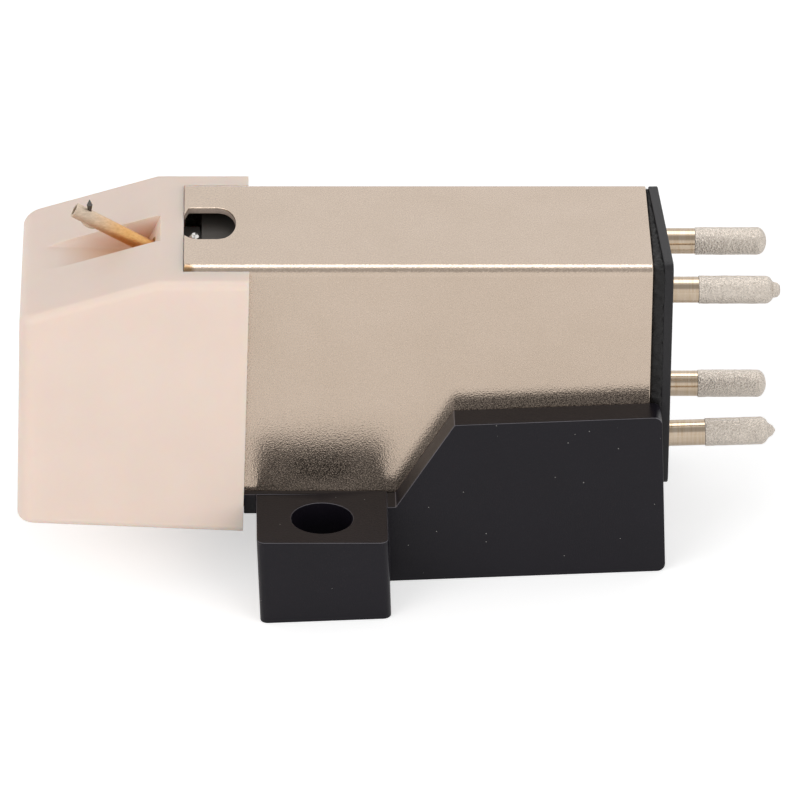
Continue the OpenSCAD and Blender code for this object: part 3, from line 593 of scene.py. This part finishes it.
slide_gap = 0.02
holder_w, nose_l, grip_l, top_drop, belly_drop = 10.2, 6.96, 2.77, 0.15, 0.65
slant_start, slant_angle, belly_angle, face_lean = 1.15, radians(17), radians(2.6), radians(1.25)
holder_wall, nose_r, holder_r = 1.05, 0.72, 0.36
trough_w, trough_floor, trough_end, trough_r, trough_lean = 2.35, 1.67, 1.0, 0.4, radians(25)
block_w, block_bottom, block_cover, block_top_front = 3.3, 4.75, 0.35, 0.95
pivot_x, pivot_depth, cantilever_angle, passage_d = 0.9, 2.45, radians(29.7), 1.05
slope_top = into_row @ Vector((-slant_start, 0, -top_drop))
slope_down = Vector((sin(slant_angle - body_pitch), 0, -cos(slant_angle - body_pitch)))
holder_h = can_h + belly_drop
nose_drop = top_drop + (nose_l - slant_start) * tan(slant_angle)
holder_h_rear = holder_h + (nose_l + grip_l) * tan(belly_angle)
front_lean = (holder_h - nose_drop) * tan(face_lean)
rear_lean = (holder_h_rear - top_drop) * tan(face_lean)
nose_low_x = -nose_l - front_lean

holder = slab("holder", [(grip_l, -top_drop), (-slant_start, -top_drop), (-nose_l, -nose_drop),
                         (nose_low_x, -holder_h), (grip_l - rear_lean, -holder_h_rear)],
              -holder_w / 2, holder_w / 2)
# first the two upright front edges, then the whole rim of the top and that of the underside
round_edges(holder, lambda at, way: at.x < -6 and abs(way.z) > 0.9, nose_r, 10)
round_edges(holder, lambda at, way: at.x < grip_l - 0.5 and abs(way.z) < 0.4
            and (abs(way.y) < 0.99 or at.x < -6), holder_r, 6)
hollow = slab("hollow", [(0, -top_drop - holder_wall), (-slant_start, -top_drop - holder_wall),
                         (holder_wall - nose_l, -nose_drop - holder_wall),
                         (nose_low_x + holder_wall, holder_wall - holder_h), (0, holder_wall - holder_h)],
              holder_wall - holder_w / 2, holder_w / 2 - holder_wall)
combine(hollow, "DIFFERENCE",
        block("under_trough", (-20, -trough_w / 2 - holder_wall, -trough_floor - holder_wall),
              (0.01, trough_w / 2 + holder_wall, 5)),
        block("round_block", (-trough_end - holder_wall, -block_w / 2 - holder_wall,
              -block_bottom - holder_wall), (0.01, block_w / 2 + holder_wall, 5)))
trough = slab("trough", [(-20, -trough_floor), (-trough_end - (trough_floor - top_drop) * tan(trough_lean),
                         -trough_floor), (-trough_end, -top_drop), (-trough_end, 5), (-20, 5)],
              -trough_w / 2, trough_w / 2)
round_edges(trough, lambda at, way: abs(way.x) > 0.9 and at.z < 0, trough_r, 8)
combine(holder, "DIFFERENCE", hollow,
        block("can_room", (-slide_gap, -can_w / 2 - slide_gap, -20), (20, can_w / 2 + slide_gap, 20)),
        trough,
        rod("passage", (pivot_x, 0, -pivot_depth), 30, passage_d / 2, pi / 2 + cantilever_angle),
        block("block_room", (block_cover - trough_end, -block_w / 2 - seat_gap, -block_bottom - seat_gap),
              (20, block_w / 2 + seat_gap, seat_gap - block_top_front)))
soften(holder, 0.12, 4)
place(holder, "stylus_unit", make_pale_abs("pale pink-beige ABS", 0.0))
holder.data.materials.append(make_pale_abs("pale pink-beige ABS with painted glow in the trough", 0.8))
# the trough's own faces, under the sloping top and behind the front, take the painted glow
for face in holder.data.polygons:
    at = into_row.inverted() @ face.center
    under = (face.center - slope_top).dot(slope_down)
    face.material_index = int(abs(at.y) < trough_w / 2 + 0.02 and -nose_l + 0.3 < at.x < 0.05 - trough_end
                              and under > 0.00003 and at.z > -trough_floor - 0.02)
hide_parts("stylus_holder")


# Suspension: a drawn brass sleeve with a brass plug that holds a fine steel wire, and a sintered magnet on
# the cantilever's rear end. All of it sits inside the suspension block.
coat(make_metal("drawn brass", "#ab8742", "#c39f5c", 0.28, 0.3, 0.002), "pivot_sleeve", "wire_plug")
coat(make_metal("spring steel", "#b4b3b0", "#cfcdc9", 0.25, 0.2, 0.001), "tie_wire")
coat(make_metal("sintered magnet", "#7e8184", "#94979a", 0.42, 0.1, 0.004), "magnet")


# Set screw: a tiny bright steel screw that clamps the sleeve, seen through the notch. Its driver slot
# splits the light on its head in two.
screw_x, screw_top, screw_head_d = 0.45, 0.43, 0.44
screw_foot = 1.14
# the head is a little longer than wide, and its slot stands behind its middle
head_stretch, driver_near, driver_far, driver_depth = 1.1, 0.03, 0.09, 0.14
screw = rod("screw", (screw_x, 0, -(screw_top + screw_foot) / 2), screw_foot - screw_top,
            screw_head_d / 4, sides=24)
deselect()
bpy.ops.mesh.primitive_uv_sphere_add(segments=32, ring_count=16, radius=screw_head_d / 2,
                                     location=(screw_x, 0, -screw_top - screw_head_d / 2))
head = bpy.context.object
head.scale = (head_stretch, 1, 1)
bpy.ops.object.transform_apply(location=True, scale=True)
combine(screw, "UNION", head)
combine(screw, "DIFFERENCE", block("driver_slot", (screw_x + driver_near, -0.3, -screw_top - driver_depth),
                                   (screw_x + driver_far, 0.3, 0)))
soften(screw, 0.012, 2, 50)
place(screw, "stylus_unit", make_metal("bright steel", "#d8d6d2", "#eceae6", 0.16, 0.2, 0.001))
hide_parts("set_screw")


# Damper: a ring of soft black rubber, pressed into the front of the brass sleeve. The cantilever swings
# in it and is damped by it.
def make_rubber():
    """Soft rubber: black, dull, with a faint bloom of 0.2 mm."""
    finish, shader = new_finish("soft black rubber", Roughness=0.75, IOR=1.5)
    where = add_node(finish, "ShaderNodeTexCoord", {}).outputs["Object"]
    bloom = add_node(finish, "ShaderNodeTexNoise", {"Vector": where, "Scale": 5000, "Detail": 3})
    tone = add_node(finish, "ShaderNodeMix", {0: bloom.outputs["Fac"], 6: colour("#1c1c1c"),
                    7: colour("#2a2a2a")}, data_type="RGBA")
    finish.node_tree.links.new(tone.outputs[2], shader.inputs["Base Color"])
    return finish


coat(make_rubber(), "damper")


# Cantilever: a thin drawn tube of aluminium, anodised gold. Towards its open end it is frosted and pale
# from the etching of its end.
tube_r, tube_wall, tube_front, tube_tail = 0.325, 0.1, 6.42, 0.95
tip_setback, tip_hole_r = 0.75, 0.095
slope = cantilever_angle + body_pitch
from_pivot = Matrix.Translation((pivot_x, 0, -pivot_depth)) @ Matrix.Rotation(cantilever_angle, 4, "Y")
along_tube = Vector((cos(slope), 0, -sin(slope)))
open_end = into_row @ from_pivot @ Vector((-tube_front, 0, 0))


def make_gold_tube():
    """Gold-anodised aluminium, drawn: satin streaks along it, frosted and beige over its first 2 mm."""
    finish, shader = new_finish("gold-anodised aluminium", Metallic=1.0)
    where = add_node(finish, "ShaderNodeTexCoord", {}).outputs["Object"]
    run = add_node(finish, "ShaderNodeVectorMath", {0: where, 1: along_tube}, operation="DOT_PRODUCT")
    start = open_end.dot(along_tube)
    gold = add_node(finish, "ShaderNodeMapRange", {"Value": run.outputs["Value"],
                    "From Min": start + 0.0003, "From Max": start + 0.0026}, interpolation_type="SMOOTHSTEP")
    # frosting of 0.1 mm, drawn out to streaks along the tube
    drawn = add_node(finish, "ShaderNodeMapping", {"Vector": where, "Rotation": (0, -slope, 0),
                     "Scale": (4500, 11000, 11000)})
    grain = add_node(finish, "ShaderNodeTexNoise", {"Vector": drawn.outputs["Vector"], "Scale": 1.0,
                     "Detail": 5, "Roughness": 0.7})
    pale = add_node(finish, "ShaderNodeMix", {0: grain.outputs["Fac"], 6: colour("#af9981"),
                    7: colour("#f8e7d5")}, data_type="RGBA")
    rich = add_node(finish, "ShaderNodeMix", {0: grain.outputs["Fac"], 6: colour("#c48a4b"),
                    7: colour("#fac887")}, data_type="RGBA")
    tone = add_node(finish, "ShaderNodeMix", {0: gold.outputs["Result"], 6: pale.outputs[2],
                    7: rich.outputs[2]}, data_type="RGBA")
    dull = add_node(finish, "ShaderNodeMapRange", {"Value": gold.outputs["Result"], "To Min": 0.55,
                    "To Max": 0.33})
    bump = add_node(finish, "ShaderNodeBump", {"Height": grain.outputs["Fac"], "Strength": 0.5,
                    "Distance": 0.00004})
    finish.node_tree.links.new(tone.outputs[2], shader.inputs["Base Color"])
    finish.node_tree.links.new(dull.outputs["Result"], shader.inputs["Roughness"])
    finish.node_tree.links.new(bump.outputs["Normal"], shader.inputs["Normal"])
    return finish


gold_tube = make_gold_tube()
tube = lathe("tube", [(-tube_front, tube_r - tube_wall), (-tube_front, tube_r - 0.01),
                      (0.01 - tube_front, tube_r), (tube_tail, tube_r), (tube_tail, tube_r - tube_wall),
                      (-tube_front, tube_r - tube_wall)], 64)
tube.data.transform(from_pivot)
tip_run = tube_front - tip_setback
tip_at = from_pivot @ Vector((-tip_run, 0, 0))
combine(tube, "DIFFERENCE", rod("tip_hole", tip_at, 2, tip_hole_r, sides=32))
soften(tube, 0.008, 2, 50)
place(tube, "cantilever", gold_tube)
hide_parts("cantilever")


# Stylus tip: a ground and polished crystal on a shank that passes through the tube. A drop of clear glue
# holds it from below and covers the shank's foot.
coat(make_metal("polished tip", "#56524f", "#6f6b68", 0.2, 0.1, 0.001), "stylus_tip")
deselect()
bpy.ops.mesh.primitive_uv_sphere_add(segments=40, ring_count=20, radius=1)
glue = bpy.context.object
glue.name = "glue"
glue.data.transform(from_pivot @ Matrix.Translation((0.11 - tip_run, 0, -0.29))
                    @ Matrix.Diagonal((0.36, 0.2, 0.15, 1)))
activate(glue)
bpy.ops.object.shade_smooth()
glue_finish, glue_shader = new_finish("clear glue", Roughness=0.22, IOR=1.5, Subsurface_Weight=0.4)
glue_shader.inputs["Base Color"].default_value = colour("#c7b49c")
glue_shader.inputs["Subsurface Scale"].default_value = 0.0002
place(glue, "cantilever", glue_finish)


# Floor, light and camera: a white table in a white room, two soft boxes low to the left and right of the
# camera, and a long lens at the photograph's angle.
def make_table_white():
    """A white table that keeps the part's soft shadow and is white to the camera elsewhere."""
    finish, shader = new_finish("white table", Roughness=0.9)
    shader.inputs["Base Color"].default_value = colour("#f4f4f4")
    rays = add_node(finish, "ShaderNodeLightPath", {})
    seen = add_node(finish, "ShaderNodeMath", {0: rays.outputs["Is Glossy Ray"], 1: 0.6,
                    2: rays.outputs["Is Camera Ray"]}, operation="MULTIPLY_ADD")
    level = add_node(finish, "ShaderNodeMath", {0: seen.outputs[0], 1: 0.5}, operation="MULTIPLY")
    shader.inputs["Emission Color"].default_value = (1, 1, 1, 1)
    finish.node_tree.links.new(level.outputs[0], shader.inputs["Emission Strength"])
    return finish


deselect()
bpy.ops.mesh.primitive_plane_add(size=4.0, location=(0, 0, 0))
table = bpy.context.object
table.name = "table"
table.data.materials.append(make_table_white())


def soft_box(name, azimuth, elevation, distance, size, power):
    """A square area lamp that looks at the part from a direction in degrees, 0 being the camera's side."""
    way = Vector((sin(radians(azimuth)) * cos(radians(elevation)),
                  -cos(radians(azimuth)) * cos(radians(elevation)), sin(radians(elevation))))
    lamp = bpy.data.lights.new(name, "AREA")
    lamp.size = size
    lamp.energy = power
    stand = bpy.data.objects.new(name, lamp)
    bpy.context.scene.collection.objects.link(stand)
    stand.location = way * distance
    stand.rotation_euler = way.to_track_quat("Z", "Y").to_euler()
    stand.visible_glossy = False


soft_box("left_box", -45, 20, 0.5, 0.35, 0.77)
soft_box("right_box", 45, 20, 0.5, 0.35, 0.77)

room = bpy.data.worlds.new("room")
room.use_nodes = True
bpy.context.scene.world = room
rays = add_node(room, "ShaderNodeLightPath", {})
way = add_node(room, "ShaderNodeTexCoord", {}).outputs["Generated"]
# what shiny surfaces see: the room is darker 55 degrees up on the camera's side, which shades the metal's
# rounded edge, and a bright ceiling lies 72 degrees up on the far side, which lights it
dark_way, bright_way = (0, -0.574, 0.819), (0, 0.31, 0.951)
front = add_node(room, "ShaderNodeVectorMath", {0: way, 1: dark_way}, operation="DOT_PRODUCT")
shade = add_node(room, "ShaderNodeMapRange", {"Value": front.outputs["Value"], "From Min": 0.88,
                 "From Max": 0.97, "To Min": 1.0, "To Max": 0.5}, interpolation_type="SMOOTHSTEP")
above = add_node(room, "ShaderNodeVectorMath", {0: way, 1: bright_way}, operation="DOT_PRODUCT")
ceiling = add_node(room, "ShaderNodeMapRange", {"Value": above.outputs["Value"], "From Min": 0.93,
                   "From Max": 0.97, "To Min": 0.0, "To Max": 2.0}, interpolation_type="SMOOTHSTEP")
shiny = add_node(room, "ShaderNodeMath", {0: shade.outputs["Result"], 1: ceiling.outputs["Result"]},
                 operation="ADD")
lit = add_node(room, "ShaderNodeMix", {0: rays.outputs["Is Diffuse Ray"], 2: shiny.outputs[0], 3: 0.5})
level = add_node(room, "ShaderNodeMath", {0: lit.outputs[0], 1: rays.outputs["Is Camera Ray"]},
                 operation="MAXIMUM")
backdrop = room.node_tree.nodes["Background"]
backdrop.inputs["Color"].default_value = (1, 1, 1, 1)
room.node_tree.links.new(level.outputs[0], backdrop.inputs["Strength"])

view_elevation, view_azimuth, view_roll = radians(28.886), radians(-0.027), radians(-2.123)
view_distance, view_aim = 0.36039, Vector((0.003517, 0, 0.005960))
lens = bpy.data.cameras.new("camera")
lens.sensor_width = 36
lens.lens = 375.05
camera = bpy.data.objects.new("camera", lens)
bpy.context.scene.collection.objects.link(camera)
look = Vector((sin(view_azimuth) * cos(view_elevation), -cos(view_azimuth) * cos(view_elevation),
               sin(view_elevation)))
camera.location = view_aim + look * view_distance
camera.rotation_mode = "QUATERNION"
camera.rotation_quaternion = look.to_track_quat("Z", "Y") @ Quaternion((0, 0, 1), view_roll)
bpy.context.scene.camera = camera
bpy.context.scene.view_settings.view_transform = "Standard"
